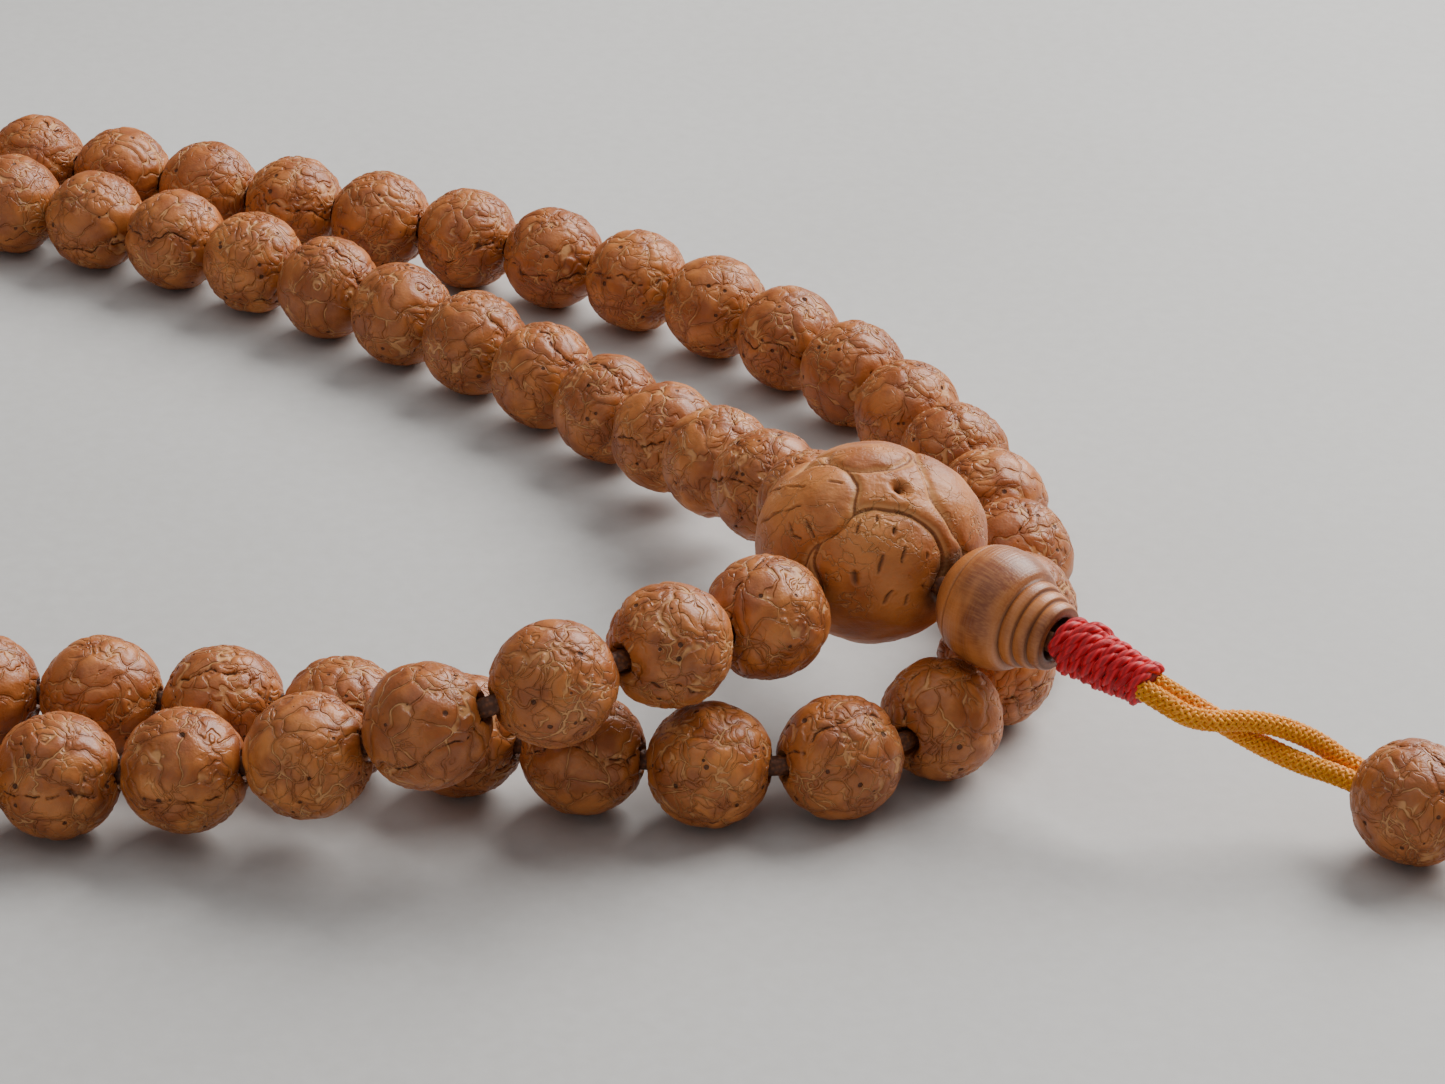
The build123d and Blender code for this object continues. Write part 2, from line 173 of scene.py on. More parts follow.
# ---------------------------------------------------------------- node trees
class Nodes:
    """Short ways of adding nodes to one tree, of a shape or a material."""

    def __init__(self, tree):
        self.tree = tree

    def add(self, kind, inputs=None, **settings):
        node = self.tree.nodes.new(kind)
        for name, value in settings.items():
            setattr(node, name, value)
        for key, value in (inputs or {}).items():
            self.feed(node.inputs[key], value)
        return node

    def feed(self, socket, value):
        if isinstance(value, bpy.types.NodeSocket):
            self.tree.links.new(value, socket)
        elif value is not None:
            socket.default_value = value

    def math(self, operation, *values):
        return self.add("ShaderNodeMath", dict(enumerate(values)), operation=operation).outputs[0]

    def vector(self, operation, *values, scale=None):
        inputs = dict(enumerate(values))
        if scale is not None:
            inputs["Scale"] = scale
        node = self.add("ShaderNodeVectorMath", inputs, operation=operation)
        return node.outputs["Value" if operation in ("LENGTH", "DOT_PRODUCT") else "Vector"]

    def parts(self, vector):
        return self.add("ShaderNodeSeparateXYZ", {0: vector}).outputs

    def joined(self, x, y, z):
        return self.add("ShaderNodeCombineXYZ", {0: x, 1: y, 2: z}).outputs[0]

    def noise(self, at, w, scale, detail=2.0):
        inputs = {"Vector": at, "W": w, "Scale": scale, "Detail": detail}
        return self.add("ShaderNodeTexNoise", inputs, noise_dimensions="4D").outputs

    def cells(self, at, w, scale, feature="DISTANCE_TO_EDGE"):
        inputs = {"Vector": at, "W": w, "Scale": scale}
        return self.add(
            "ShaderNodeTexVoronoi", inputs, voronoi_dimensions="4D", feature=feature
        ).outputs

    def ease(self, value, low, high, to_low=0.0, to_high=1.0):
        """Smooth step of value from low to high."""
        inputs = {"Value": value, "From Min": low, "From Max": high}
        inputs |= {"To Min": to_low, "To Max": to_high}
        return self.add("ShaderNodeMapRange", inputs, interpolation_type="SMOOTHSTEP").outputs[0]

    def mix(self, share, a, b, blend="MIX"):
        inputs = {0: share, 6: a, 7: b}
        return self.add(
            "ShaderNodeMix", inputs, data_type="RGBA", blend_type=blend, clamp_factor=True
        ).outputs[2]

    def total(self, *values):
        result = values[0]
        for value in values[1:]:
            result = self.math("ADD", result, value)
        return result

    def times(self, *values):
        result = values[0]
        for value in values[1:]:
            result = self.math("MULTIPLY", result, value)
        return result


def shape_tree(name, inputs):
    """A new Geometry Nodes tree with its named inputs: (name, socket kind, usual value)."""
    tree = bpy.data.node_groups.new(name, "GeometryNodeTree")
    tree.interface.new_socket("Geometry", in_out="INPUT", socket_type="NodeSocketGeometry")
    for label, kind, value in inputs:
        socket = tree.interface.new_socket(label, in_out="INPUT", socket_type="NodeSocket" + kind)
        if value is not None:
            socket.default_value = value
    tree.interface.new_socket("Geometry", in_out="OUTPUT", socket_type="NodeSocketGeometry")
    n = Nodes(tree)
    return n, n.add("NodeGroupInput").outputs


def shown(n, geometry, material):
    """Ends a tree: its result is real geometry, smooth, with its material."""
    real = n.add("GeometryNodeRealizeInstances", {"Geometry": geometry}).outputs[0]
    smooth = n.add("GeometryNodeSetShadeSmooth", {"Geometry": real}).outputs[0]
    painted = n.add("GeometryNodeSetMaterial", {"Geometry": smooth, "Material": material})
    n.add("NodeGroupOutput", {"Geometry": painted.outputs[0]})


def made(name, mesh, tree, **sizes):
    """The tree's result on a mesh, kept as a plain mesh object at the origin."""
    piece = bpy.data.objects.new(name, mesh)
    bpy.context.scene.collection.objects.link(piece)
    modifier = piece.modifiers.new("shape", "NODES")
    modifier.node_group = tree
    for item in tree.interface.items_tree:
        if item.in_out == "INPUT" and item.name in sizes:
            modifier[item.identifier] = sizes[item.name]
    bpy.context.view_layer.update()
    depsgraph = bpy.context.evaluated_depsgraph_get()
    result = bpy.data.meshes.new_from_object(
        piece.evaluated_get(depsgraph), preserve_all_data_layers=True, depsgraph=depsgraph
    )
    piece.modifiers.clear()
    piece.data = result
    return piece


# ---------------------------------------------------------------- seeds
def seed_skin(n, point, number):
    """What a seed's skin does at a point of its unit ball: how far it stands off plate edges,
    fine creases and the seam, its pits, and its broad unevenness."""
    bend = n.vector("SUBTRACT", n.noise(point, number, 1.5, 2.0)[1], (0.5, 0.5, 0.5))
    bent = n.vector("ADD", point, n.vector("SCALE", bend, scale=1.1))
    plate = n.cells(bent, number, 1.55)["Distance"]
    fine = n.cells(bent, n.math("ADD", number, 3.3), 3.7)["Distance"]
    patch = n.noise(point, n.math("ADD", number, 11.7), 1.25, 1.0)[0]
    seam = n.math("ABSOLUTE", n.parts(bent)[0])
    rough = n.noise(point, n.math("ADD", number, 5.1), 7.5, 2.0)[0]
    cell = n.cells(point, n.math("ADD", number, 8.9), 6.5, "F1")
    spread = n.parts(cell["Color"])[0]
    pit = n.math("SUBTRACT", cell["Distance"], n.ease(spread, 0.62, 1.0, 0.0, 0.34))
    lump = n.noise(point, n.math("ADD", number, 21.3), 0.95, 1.5)[0]
    return {
        "plate": plate, "fine": fine, "patch": patch, "seam": seam,
        "rough": rough, "pit": pit, "lump": lump,
    }


def seed_tree():
    """One creased seed, dimpled where the cord goes in, at each point of the incoming mesh."""
    n, given = shape_tree("creased seeds", [
        ("Radius", "Float", SEED_RADIUS), ("Half Length", "Float", SEED_HALF_LENGTH),
        ("Mouth", "Float", SEED_MOUTH), ("Detail", "Int", NEAR_DETAIL),
        ("Material", "Material", None),
    ])
    ball = n.add("GeometryNodeMeshIcoSphere", {"Radius": 1.0, "Subdivisions": given["Detail"]})
    place = n.add("GeometryNodeInputPosition").outputs[0]
    ball = n.add(
        "GeometryNodeStoreNamedAttribute",
        {"Geometry": ball.outputs["Mesh"], "Name": "seed_point", "Value": place},
        data_type="FLOAT_VECTOR", domain="POINT",
    )

    def named(name, kind):
        return n.add(
            "GeometryNodeInputNamedAttribute", {"Name": name}, data_type=kind
        ).outputs["Attribute"]

    along = n.add(
        "FunctionNodeAlignRotationToVector", {"Vector": named("bore_way", "FLOAT_VECTOR")}, axis="Z"
    )
    spin = n.add(
        "FunctionNodeAxisAngleToRotation", {"Axis": (0, 0, 1), "Angle": named("spin", "FLOAT")}
    )
    turn = n.add(
        "FunctionNodeRotateRotation", {"Rotation": along.outputs[0], "Rotate By": spin.outputs[0]},
        rotation_space="LOCAL",
    ).outputs[0]
    balls = n.add(
        "GeometryNodeInstanceOnPoints",
        {"Points": given["Geometry"], "Instance": ball.outputs[0], "Rotation": turn},
    )
    real = n.add("GeometryNodeRealizeInstances", {"Geometry": balls.outputs[0]}).outputs[0]

    point = named("seed_point", "FLOAT_VECTOR")
    skin = seed_skin(n, point, named("seed_number", "FLOAT"))
    creased = n.ease(skin["patch"], 0.42, 0.56)
    seam = n.ease(skin["seam"], 0.0, 0.05, 1.0, 0.0)
    depth = n.total(
        n.times(n.ease(skin["lump"], 0.25, 0.75), 0.026),
        n.times(n.ease(skin["plate"], 0.0, 0.26, 1.0, 0.0), 0.022),
        n.times(n.ease(skin["plate"], 0.0, 0.035, 1.0, 0.0), 0.008),
        n.times(n.ease(skin["fine"], 0.0, 0.14, 1.0, 0.0), creased, 0.014),
        n.times(seam, n.total(0.010, n.times(n.ease(skin["rough"], 0.40, 0.6), 0.034))),
        n.times(n.ease(skin["seam"], 0.04, 0.22, 1.0, 0.0), 0.014),
        n.times(n.ease(skin["pit"], -0.10, 0.02, 1.0, 0.0), 0.024),
        n.times(skin["rough"], 0.006),
    )
    size = n.joined(given["Radius"], given["Radius"], given["Half Length"])
    shape = n.vector("MULTIPLY", point, size)
    shape = n.vector("SCALE", shape, scale=n.math("SUBTRACT", 1.014, depth))
    x, y, z = n.parts(shape)
    off_axis = n.math("DIVIDE", n.vector("LENGTH", n.joined(x, y, 0.0)), given["Mouth"])
    dimple = n.ease(off_axis, 0.62, 1.0, 0.70, 1.0)
    shape = n.joined(x, y, n.times(z, dimple))

    def turned(vector):
        return n.add("FunctionNodeRotateVector", {"Vector": vector, "Rotation": turn}).outputs[0]

    place = n.add("GeometryNodeInputPosition").outputs[0]
    middle = n.vector("SUBTRACT", place, turned(point))
    moved = n.add(
        "GeometryNodeSetPosition",
        {"Geometry": real, "Position": n.vector("ADD", middle, turned(shape))},
    )
    shown(n, moved.outputs[0], given["Material"])
    return n.tree


def loose_parts(node):
    """The solids of a CAD node, each as an array of its triangles' corners."""
    soup = bmesh.new()
    soup.from_mesh(frame["nodes"][node].data)
    bmesh.ops.remove_doubles(soup, verts=soup.verts, dist=1e-6)
    bmesh.ops.triangulate(soup, faces=soup.faces)
    found, seen = [], set()
    for start in soup.verts:
        if start in seen:
            continue
        stack, faces = [start], set()
        seen.add(start)
        while stack:
            vertex = stack.pop()
            faces.update(vertex.link_faces)
            for edge in vertex.link_edges:
                other = edge.other_vert(vertex)
                if other not in seen:
                    seen.add(other)
                    stack.append(other)
        found.append(np.array([[v.co[:] for v in face.verts] for face in faces]))
    soup.free()
    return found


def seed_place(triangles):
    """Middle and bore direction of a CAD bead: its skin is round about the bore."""
    low, high = triangles.min((0, 1)), triangles.max((0, 1))
    middle = (low + high) / 2
    centres = triangles.mean(1) - middle
    sides = triangles[:, 1:] - triangles[:, :1]
    areas = np.linalg.norm(np.cross(sides[:, 0], sides[:, 1]), axis=1)
    spread = (centres * areas[:, None]).T @ centres / areas.sum()
    sizes, ways = np.linalg.eigh(spread)
    odd = 2 if sizes[2] - sizes[1] > sizes[1] - sizes[0] else 0
    return middle, ways[:, odd]


def seeds(node, tree, material, detail, radius, half_length, mouth):
    """The seeds of one CAD node as one piece."""
    places = [seed_place(part) for part in loose_parts(node)]
    points = bpy.data.meshes.new(node + "_points")
    points.from_pydata([place for place, way in places], [], [])
    ways = points.attributes.new("bore_way", "FLOAT_VECTOR", "POINT")
    ways.data.foreach_set("vector", np.concatenate([way for place, way in places]))
    for label, top in (("spin", 2 * math.pi), ("seed_number", 900.0)):
        values = points.attributes.new(label, "FLOAT", "POINT")
        values.data.foreach_set("value", seeded.uniform(0, top, len(places)))
    sizes = {"Radius": radius, "Half Length": half_length, "Mouth": mouth}
    return made(node + "_skin", points, tree, **sizes, Detail=detail, Material=material)


# ---------------------------------------------------------------- materials
def new_material(name):
    """A material with its node helper and its main shader."""
    material = bpy.data.materials.new(name)
    material.use_nodes = True
    return material, Nodes(material.node_tree), material.node_tree.nodes["Principled BSDF"]


def read(n, name):
    return n.add("ShaderNodeAttribute", attribute_name=name).outputs


def bumped(n, shader, height, distance, strength=1.0):
    bump = n.add(
        "ShaderNodeBump", {"Height": height, "Distance": distance, "Strength": strength}
    )
    n.feed(shader.inputs["Normal"], bump.outputs[0])


def seed_material():
    """Waxed dried seed: warm brown plates with painted shade darkening them towards the creases, cream crease
    edges, dark seam and pits.
    """
    material, n, shader = new_material("dried seed")
    point = read(n, "seed_point")["Vector"]
    number = read(n, "seed_number")["Fac"]
    skin = seed_skin(n, point, number)
    tone = n.noise(point, n.math("ADD", number, 31.0), 2.2, 3.0)[0]
    colour = n.mix(n.ease(tone, 0.34, 0.66), SEED_DARK, SEED_LIGHT)
    own = n.math("FRACT", n.times(number, 0.618))
    colour = n.mix(n.times(own, 0.50), colour, (0.30, 0.080, 0.016, 1))
    # painted shade: the plates darken towards their edges, in the creases
    hollow_shade = n.ease(skin["plate"], 0.02, 0.20, 1.0, 0.0)
    colour = n.mix(n.times(hollow_shade, 0.35), colour, (0.24, 0.062, 0.014, 1))
    grain = n.noise(point, number, 26.0, 3.0)[0]
    colour = n.mix(n.times(n.ease(grain, 0.45, 0.75), 0.30), colour, SEED_CREAM, "SOFT_LIGHT")
    creased = n.ease(skin["patch"], 0.42, 0.56)
    plate_line = n.ease(skin["plate"], 0.012, 0.040, 1.0, 0.0)
    fine_line = n.times(n.ease(skin["fine"], 0.010, 0.050, 1.0, 0.0), creased)
    broken = n.ease(n.noise(point, n.math("ADD", number, 17.0), 3.0, 2.0)[0], 0.44, 0.62)
    cream = n.times(n.math("MAXIMUM", plate_line, fine_line), broken, 0.55)
    colour = n.mix(cream, colour, SEED_CREAM)
    seam = n.times(n.ease(skin["seam"], 0.0, 0.03, 1.0, 0.0), n.ease(skin["rough"], 0.42, 0.58))
    pit = n.ease(skin["pit"], -0.06, 0.0, 1.0, 0.0)
    dark = n.times(n.math("MAXIMUM", seam, pit), 0.85)
    colour = n.mix(dark, colour, SEED_PIT_AND_SHADE)
    n.feed(shader.inputs["Base Color"], colour)
    roughness = n.total(0.32, n.times(grain, 0.16), n.times(cream, 0.2), n.times(dark, 0.3))
    n.feed(shader.inputs["Roughness"], roughness)
    height = n.total(
        n.times(n.math("MAXIMUM", plate_line, fine_line), -1.0), n.times(dark, -1.4),
        n.times(grain, 0.35), n.times(skin["rough"], 0.6),
    )
    bumped(n, shader, height, 0.00011)
    shader.inputs["Subsurface Weight"].default_value = 0.04
    shader.inputs["Subsurface Radius"].default_value = (0.0012, 0.0005, 0.0002)
    return material


def guru_material():
    """The large seed: smoother and redder, with fine creases and the lobes' own lines, and painted shade at the
    bottom of the creases and round the neck.
    """
    material, n, shader = new_material("guru seed")
    point = read(n, "guru_point")["Vector"]
    line = read(n, "lobe_line")["Fac"]
    cuts_and_shade = read(n, "cuts_and_shade")["Fac"]
    tone = n.noise(point, 3.0, 2.0, 4.0)[0]
    colour = n.mix(n.ease(tone, 0.32, 0.68), (0.36, 0.100, 0.020, 1), (0.62, 0.220, 0.052, 1))
    grain = n.noise(point, 9.0, 30.0, 3.0)[0]
    colour = n.mix(n.times(n.ease(grain, 0.45, 0.8), 0.35), colour, SEED_CREAM, "SOFT_LIGHT")
    bend = n.vector("SUBTRACT", n.noise(point, 5.0, 2.6, 3.0)[1], (0.5, 0.5, 0.5))
    bent = n.vector("ADD", point, n.vector("SCALE", bend, scale=1.0))
    web = n.cells(bent, 4.0, 4.2)["Distance"]
    some = n.ease(n.noise(point, 12.0, 1.7, 1.0)[0], 0.50, 0.60)
    web = n.times(n.ease(web, 0.008, 0.040, 1.0, 0.0), some)
    colour = n.mix(n.times(web, 0.30), colour, SEED_CREAM)
    edge = n.times(n.ease(line, 0.15, 0.75), n.ease(line, 0.75, 1.0, 1.0, 0.0), 0.5)
    colour = n.mix(edge, colour, SEED_CREAM)
    # dark slits and eye, and painted shade at the bottom of the lobe creases and round the neck
    dark = n.math("MAXIMUM", n.times(n.ease(line, 0.80, 1.0), 0.55), n.times(cuts_and_shade, 0.85))
    colour = n.mix(dark, colour, SEED_PIT_AND_SHADE)
    n.feed(shader.inputs["Base Color"], colour)
    n.feed(shader.inputs["Roughness"], n.total(0.38, n.times(grain, 0.18), n.times(dark, 0.25)))
    pores = n.cells(point, 2.0, 17.0, "F1")["Distance"]
    height = n.total(
        n.times(web, -0.9), n.times(grain, 0.45), n.times(n.ease(pores, 0.0, 0.22), 0.35)
    )
    bumped(n, shader, height, 0.00013)
    shader.inputs["Subsurface Weight"].default_value = 0.04
    shader.inputs["Subsurface Radius"].default_value = (0.0012, 0.0005, 0.0002)
    return material


def turned_wood():
    """Waxed wood: dark and light bands along the grain, the tool's fine rings, and painted shade in the grooves
    and the bore.
    """
    material, n, shader = new_material("turned wood")
    x, y, z = n.parts(read(n, "turned_point")["Vector"])
    bands = n.noise(n.joined(n.times(x, 0.35), n.times(y, 0.35), z), 4.2, 0.42, 2.0)[0]
    fibre = n.noise(n.joined(n.times(x, 4.0), n.times(y, 4.0), n.times(z, 0.35)), 5.0, 1.6, 4.0)[0]
    colour = n.mix(n.ease(bands, 0.36, 0.60), (0.22, 0.052, 0.011, 1), (0.56, 0.185, 0.045, 1))
    colour = n.mix(n.times(n.ease(fibre, 0.35, 0.7), 0.40), colour, (0.58, 0.24, 0.075, 1))
    rings = n.noise(n.joined(0.0, 0.0, z), 2.0, 7.0, 4.0)[0]
    colour = n.mix(n.times(n.ease(rings, 0.55, 0.75), 0.25), colour, (0.14, 0.045, 0.015, 1))
    # painted shade: darker in the grooves and in the bore
    groove_shade = read(n, "groove")["Fac"]
    colour = n.mix(n.times(groove_shade, 0.7), colour, (0.10, 0.030, 0.010, 1))
    n.feed(shader.inputs["Base Color"], colour)
    n.feed(shader.inputs["Roughness"], n.total(0.30, n.times(fibre, 0.14), n.times(groove_shade, 0.2)))
    bumped(n, shader, n.total(n.times(rings, 0.8), n.times(fibre, 0.35)), 0.00007)
    shader.inputs["Coat Weight"].default_value = 0.12
    shader.inputs["Coat Roughness"].default_value = 0.3
    return material


def yarn_material(name, light, deep, sheen, fibres, twist):
    """Spun yarn: fine fibres run round it, lit along the crowns and deep in the hollows."""
    material, n, shader = new_material(name)
    along = read(n, "along")["Fac"]
    around = read(n, "around")["Fac"]
    phase = n.total(n.times(along, twist), n.times(around, fibres * math.tau))
    fibre = n.ease(n.math("SINE", phase), -1.0, 1.0)
    place = n.add("ShaderNodeTexCoord").outputs["Object"]
    tone = n.noise(place, 2.0, 900.0, 3.0)[0]
    share = n.math("ADD", n.times(fibre, 0.55), n.times(tone, 0.55))
    colour = n.mix(n.ease(share, 0.20, 0.80), deep, light)
    n.feed(shader.inputs["Base Color"], colour)
    n.feed(shader.inputs["Roughness"], n.total(0.42, n.times(tone, 0.25)))
    bumped(n, shader, n.total(fibre, n.times(tone, 0.6)), 0.00004)
    shader.inputs["Sheen Weight"].default_value = sheen
    shader.inputs["Sheen Roughness"].default_value = 0.4
    return material


def plain_cord_material(light, deep):
    """The thin stretches of cord between the beads: painted dark as cord in shade, with a fine weave of small
    cells.
    """
    material, n, shader = new_material("cord in painted shade")
    place = n.add("ShaderNodeTexCoord").outputs["Object"]
    weave = n.add(
        "ShaderNodeTexVoronoi", {"Vector": place, "Scale": 3200.0}, feature="F1"
    ).outputs["Distance"]
    n.feed(shader.inputs["Base Color"], n.mix(n.ease(weave, 0.1, 0.7), light, deep))
    n.feed(shader.inputs["Roughness"], n.total(0.45, n.times(weave, 0.2)))
    bumped(n, shader, n.times(weave, -1.0), 0.00005)
    return material


def floor_material():
    """Pale smooth board with a faint mottling."""
    material, n, shader = new_material("pale board")
    place = n.add("ShaderNodeTexCoord").outputs["Object"]
    cloud = n.noise(place, 1.0, 9.0, 3.0)[0]
    speck = n.noise(place, 4.0, 700.0, 2.0)[0]
    share = n.total(n.times(cloud, 0.7), n.times(speck, 0.3))
    colour = n.mix(n.ease(share, 0.3, 0.7), (0.50, 0.49, 0.475, 1), (0.57, 0.565, 0.555, 1))
    n.feed(shader.inputs["Base Color"], colour)
    n.feed(shader.inputs["Roughness"], n.total(0.55, n.times(speck, 0.1)))
    bumped(n, shader, speck, 0.00005, 0.4)
    return material


# ---------------------------------------------------------------- guru bead
def unit(vector):
    vector = np.asarray(vector, float)
    return vector / np.linalg.norm(vector)


def degrees_from(ways, way):
    return np.degrees(np.arccos(np.clip(ways @ unit(way), -1, 1)))


def fade(value, width):
    """1 at zero, falling smoothly to nothing over a few widths."""
    return np.exp(-((value / width) ** 2))


def degrees_from_slit(ways, start, end):
    """Angle from a short arc on the ball, and where along the arc, from 0 to 1."""
    a, b = unit(start), unit(end)
    chord = b - a
    share = np.clip(((ways - a) @ chord) / (chord @ chord), 0, 1)
    near = a + share[:, None] * chord
    near /= np.linalg.norm(near, axis=1)[:, None]
    return np.degrees(np.arccos(np.clip((ways * near).sum(1), -1, 1))), share


def waves(ways, scale, offset=0.0, octaves=3):
    shift = Vector((offset, offset * 1.7, -offset))
    return np.array([noise.fractal(Vector(w) * scale + shift, 1.0, 2.0, octaves) for w in ways])


def guru_bead(material):
    """The large seed: lobes that swell between deep creases round a smooth eye."""
    ball = bmesh.new()
    bmesh.ops.create_icosphere(ball, subdivisions=7, radius=1.0)
    mesh = bpy.data.meshes.new("guru_bead_skin")
    ball.to_mesh(mesh)
    ball.free()
    ways = np.zeros(len(mesh.vertices) * 3)
    mesh.vertices.foreach_get("co", ways)
    ways = ways.reshape(-1, 3)
    wander = np.stack([waves(ways, 2.3, offset) for offset in (0.0, 7.0, 13.0)], 1)
    bent = ways + 0.055 * wander
    bent /= np.linalg.norm(bent, axis=1)[:, None]

    swell = [np.zeros(len(ways))]  # the plain skin round the eye competes as zero
    for patches in GURU_LOBES.values():
        inside = [radius - degrees_from(bent, way) for way, radius in patches]
        swell.append(np.log(sum(np.exp(i / 3.0) for i in inside)) * 3.0)
    swell = np.stack(swell)
    order = np.sort(swell, axis=0)
    border = (order[-1] - order[-2]) / 2  # degrees from the nearest crease
    lobed = swell.argmax(0) > 0
    both = np.clip(order[-2] / 4, 0, 1)  # 1 where two lobes meet, 0 beside the plain skin

    depth = np.where(lobed, 0.0, 0.30)
    depth += np.where(lobed, 0.55, 0.10) * np.exp(-border / 6.0)
    depth += (0.24 + 0.70 * both) * fade(border, 1.2 + 1.5 * both)
    cuts_and_shade = np.zeros(len(ways))
    for start, end, half_width in GURU_SLITS:
        away, share = degrees_from_slit(bent, start, end)
        mark = fade(away, half_width * (0.5 + 2.0 * share * (1 - share)))
        depth += 0.26 * mark - 0.06 * fade(away - 1.6 * half_width, half_width)
        cuts_and_shade = np.maximum(cuts_and_shade, mark)
    ragged = waves(ways, 9.0, 3.0)
    eye = degrees_from(ways, GURU_EYE) * (1 + 0.35 * ragged)
    depth += 0.55 * fade(eye, 4.2) + 0.5 * fade(eye, 2.0) - 0.10 * fade(eye - 7.5, 2.0)
    cuts_and_shade = np.maximum(cuts_and_shade, fade(eye, 3.6) * np.clip(0.55 + ragged, 0, 1))
    neck = degrees_from(ways, NECK_WAY) * (1 + 0.15 * ragged)
    depth += 0.3 * fade(neck, 15.0)
    # painted shade: the skin round the neck, under the cap bead, is marked dark
    cuts_and_shade = np.maximum(cuts_and_shade, 0.8 * fade(np.maximum(neck - 15, 0), 6.0))
    depth += 0.16 * (waves(ways, 1.4, 21.0) + 0.2) + 0.05 * waves(ways, 5.0, 5.0) + 0.02 * ragged

    shape = ways * GURU_HALF * (1 - depth * MM / GURU_HALF.min())[:, None] + np.array(guru_middle)
    mesh.vertices.foreach_set("co", shape.ravel())
    point = mesh.attributes.new("guru_point", "FLOAT_VECTOR", "POINT")
    point.data.foreach_set("vector", ways.ravel())
    for label, values in (("lobe_line", fade(border, 1.3)), ("cuts_and_shade", cuts_and_shade)):
        mark = mesh.attributes.new(label, "FLOAT", "POINT")
        mark.data.foreach_set("value", values)
    return plain_piece("guru_bead_skin", mesh, material)


def plain_piece(name, mesh, material):
    """An object at the origin with a smooth mesh and one material."""
    mesh.materials.append(material)
    mesh.shade_smooth()
    piece = bpy.data.objects.new(name, mesh)
    bpy.context.scene.collection.objects.link(piece)
    return piece


# ---------------------------------------------------------------- neck
def neck_frame():
    """Two directions square to the neck and to each other."""
    across = NECK_WAY.cross(Vector((0, 0, 1))).normalized()
    return across, across.cross(NECK_WAY).normalized()


def turned(name, outline, start, material, steps=160):
    """A lathed piece on the neck: outline is (radius, distance along, groove) in millimetres, groove being the
    share of painted shade there.
    """
    across, up = neck_frame()
    radius, along, groove = np.array(outline).T
    angle = np.linspace(0, math.tau, steps, endpoint=False)
    ring = np.stack([np.cos(angle), np.sin(angle)], 1)
    local = np.concatenate([
        np.column_stack([ring * r, np.full(steps, s)]) for r, s in zip(radius, along)
    ])
    axes = np.array([across, up, NECK_WAY])
    points = np.array(guru_middle + NECK_WAY * start) + local * MM @ axes
    faces = []
    count = len(outline)
    for i in range(count):
        a, b = i * steps, (i + 1) % count * steps
        for j in range(steps):
            k = (j + 1) % steps
            faces.append((a + j, a + k, b + k, b + j))
    mesh = bpy.data.meshes.new(name)
    mesh.from_pydata(points.tolist(), [], faces)
    spot = mesh.attributes.new("turned_point", "FLOAT_VECTOR", "POINT")
    spot.data.foreach_set("vector", local.ravel())
    groove_shade = mesh.attributes.new("groove", "FLOAT", "POINT")
    groove_shade.data.foreach_set("value", np.repeat(groove, steps))
    skin = bmesh.new()
    skin.from_mesh(mesh)
    bmesh.ops.recalc_face_normals(skin, faces=skin.faces)
    skin.to_mesh(mesh)
    skin.free()
    return plain_piece(name, mesh, material)


def cap_outline():
    """Dome with one fine groove, then stepped rings to the narrow end, and the bore. Each point's third value is
    painted shade: dark in the groove, between the rings and in the bore.
    """
    dome_length, dome_end, ring_pitch, rings = 6.6, 3.65, 1.0667, 3
    dome_radius, widest_at, groove_at = 4.65, 3.83, 2.1
    dome_steps, ring_steps = 69, 21
    outline = []
    for i in range(dome_steps + 1):
        s = dome_length * i / dome_steps
        before = s < widest_at
        share = (s - widest_at) / (widest_at if before else 5.98)
        fall = abs(share) ** 2.25 * (0.755 if before else 1.6)
        radius = dome_radius * math.sqrt(max(0.0, 1 - fall))
        groove = math.exp(-(((s - groove_at) / 0.09) ** 2))
        edge = math.exp(-(dome_length - s) / 0.12)
        # the fine groove is painted dark as shade
        outline.append((radius - 0.10 * groove - 0.14 * edge, s, 0.8 * groove))
    for ring in range(rings):
        for i in range(ring_steps + 1):
            share = i / ring_steps
            crown = math.sqrt(max(0.0, 1 - (2 * share - 1) ** 2))
            base = dome_end - 0.42 - 0.37 * (ring + share * 0.25)
            # painted shade in the hollows between the rings
            hollow_shade = math.exp(-share / 0.06) + math.exp(-(1 - share) / 0.06)
            outline.append((
                base + 0.24 * crown, dome_length + 0.02 + ring_pitch * (ring + share) * 0.985,
                min(1.0, hollow_shade),
            ))
    # the narrow end's lip and the bore are painted dark as shade
    outline += [(2.05, 9.78, 0.2), (1.78, 9.74, 0.6), (1.75, 9.2, 1.0), (1.75, 0.6, 1.0)]
    return outline + [(1.80, 0.05, 0.8), (2.2, 0.0, 0.3)]


def core_outline():
    """What the thread is wound on, closed at both ends."""
    return [
        (0.02, 0.05, 0.0), (1.45, 0.05, 0.0), (1.62, 0.6, 0.0), (1.62, 4.5, 0.0),
        (1.40, 8.0, 0.0), (1.28, 8.45, 0.0), (0.9, 8.62, 0.0), (0.02, 8.64, 0.0),
    ]


def polyline(name, points):
    """A mesh that is one open line of edges."""
    mesh = bpy.data.meshes.new(name)
    mesh.from_pydata([tuple(p) for p in points], [(i, i + 1) for i in range(len(points) - 1)], [])
    return mesh


